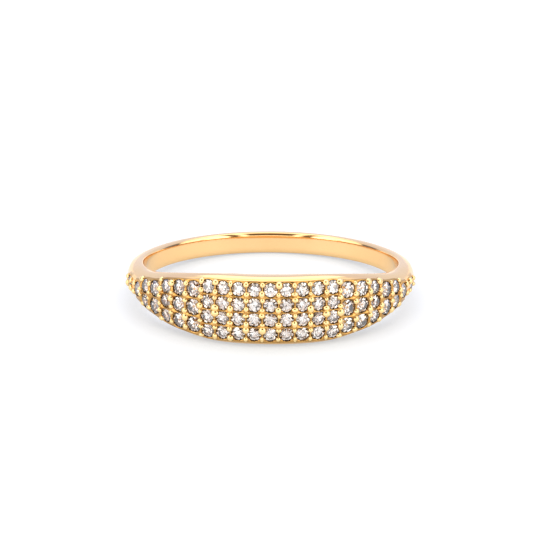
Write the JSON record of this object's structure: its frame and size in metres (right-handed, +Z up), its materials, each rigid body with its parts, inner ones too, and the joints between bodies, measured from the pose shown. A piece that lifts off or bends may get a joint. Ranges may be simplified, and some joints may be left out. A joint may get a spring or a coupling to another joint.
{
  "type": "dome ring",
  "caption": "Finger ring with a slim round shank that widens into a domed front, pave-set with rows of small round stones, lying on its side as it rests by itself.",
  "frame": {"origin": "centre of the footprint on the surface that the ring lies on", "axes": "+Z up; the domed front faces -Y; +X along the width of the ring, so the finger axis leans 5 degrees from +Z towards +Y"},
  "size_m": [0.0192, 0.0195, 0.0046],
  "materials": {
    "gold": "polished yellow gold",
    "stone": "clear cut stone"
  },
  "bodies": {
    "root": {"band": "gold", "pave_stones": "stone"}
  },
  "joints": []
}
